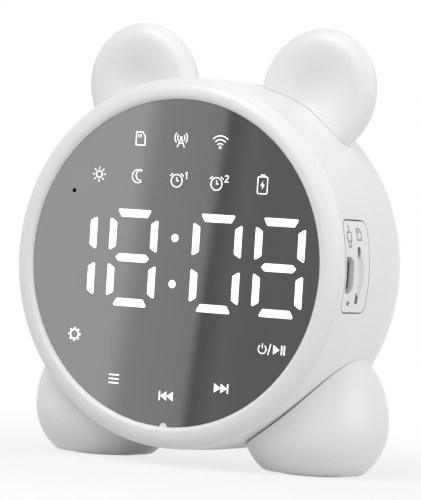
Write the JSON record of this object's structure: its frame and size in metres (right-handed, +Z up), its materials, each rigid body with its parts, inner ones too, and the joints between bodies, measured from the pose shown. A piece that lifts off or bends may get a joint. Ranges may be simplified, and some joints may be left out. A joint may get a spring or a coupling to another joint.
{
  "type": "digital alarm clock",
  "caption": "Round desk alarm clock with a mirror face, lit digits, two ears, two feet, side ports and a rear loudspeaker.",
  "frame": {"origin": "middle of the outline's base, on the table plane under the feet", "axes": "+Z up, +X to the right as seen from the front, +Y to the back; the mirror faces -Y"},
  "size_m": [0.0874, 0.0424, 0.1002],
  "materials": {
    "white_gloss": "glossy white injection moulding",
    "mirror_face": "half-silvered front window",
    "black_mask": "black printed film",
    "clear_film": "thin sensor film",
    "reflector_white": "matt white moulding",
    "lit_white": "lit milky diffuser",
    "unlit_milk": "unlit milky diffuser",
    "led_cream": "light chip under cream resin",
    "clear_pipe": "clear acrylic",
    "board_green": "solder-masked laminate",
    "chip_black": "moulded black resin",
    "can_metal": "satin can",
    "socket_steel": "stamped plated steel",
    "plug_white": "natural nylon",
    "cell_silver": "laminated pouch",
    "foam_black": "closed-cell foam",
    "wire_red": "insulated wire",
    "wire_black": "insulated wire",
    "speaker_steel": "zinc-plated pressing",
    "ferrite": "sintered ferrite",
    "coil_copper": "lacquered copper winding",
    "cone_black": "pressed paper",
    "roll_rubber": "soft rubber roll",
    "spider_cloth": "resin-dipped cloth",
    "terminal_board": "phenolic strip",
    "pad_grey": "grey rubber",
    "screw_steel": "zinc-plated steel"
  },
  "bodies": {
    "case": {"front_bezel": "white_gloss", "body_shell": "white_gloss", "port_plate": "white_gloss", "rear_cover": "white_gloss", "left_ear": "white_gloss", "right_ear": "white_gloss", "left_foot": "white_gloss", "right_foot": "white_gloss", "mirror_lens": "mirror_face", "display_mask": "black_mask", "touch_film": "clear_film", "reflector_block": "reflector_white", "lit_segments": "lit_white", "colon_diffusers": "lit_white", "legend_diffusers": "lit_white", "dark_segments": "unlit_milk", "led_chips": "led_cream", "charge_led": "led_cream", "charge_light_pipe": "clear_pipe", "main_board": "board_green", "processor_chip": "chip_black", "amplifier_chip": "chip_black", "radio_module": "chip_black", "usb_tongue": "chip_black", "buffer_capacitor": "can_metal", "crystal": "can_metal", "microphone": "can_metal", "usb_socket": "socket_steel", "card_socket": "socket_steel", "battery_socket": "plug_white", "battery_cell": "cell_silver", "battery_pad": "foam_black", "speaker_gasket": "foam_black", "battery_leads": "wire_red", "speaker_leads": "wire_black", "antenna_wire": "wire_black", "speaker_frame": "speaker_steel", "speaker_top_plate": "speaker_steel", "speaker_yoke": "speaker_steel", "speaker_magnet": "ferrite", "speaker_surround": "roll_rubber", "speaker_spider": "spider_cloth", "speaker_terminals": "terminal_board", "left_foot_pad": "pad_grey", "right_foot_pad": "pad_grey", "ear_screws": "screw_steel", "foot_screws": "screw_steel", "rear_screws": "screw_steel", "board_screws": "screw_steel", "speaker_screws": "screw_steel"},
    "diaphragm": {"speaker_cone": "cone_black", "dust_cap": "cone_black", "voice_coil": "coil_copper"}
  },
  "joints": [
    {"name": "cone_travel", "type": "slide", "parent": "case", "child": "diaphragm", "axis": [0, 1, 0], "range_m": [-0.0008, 0.0008], "stiffness_N_per_m": 500}
  ]
}
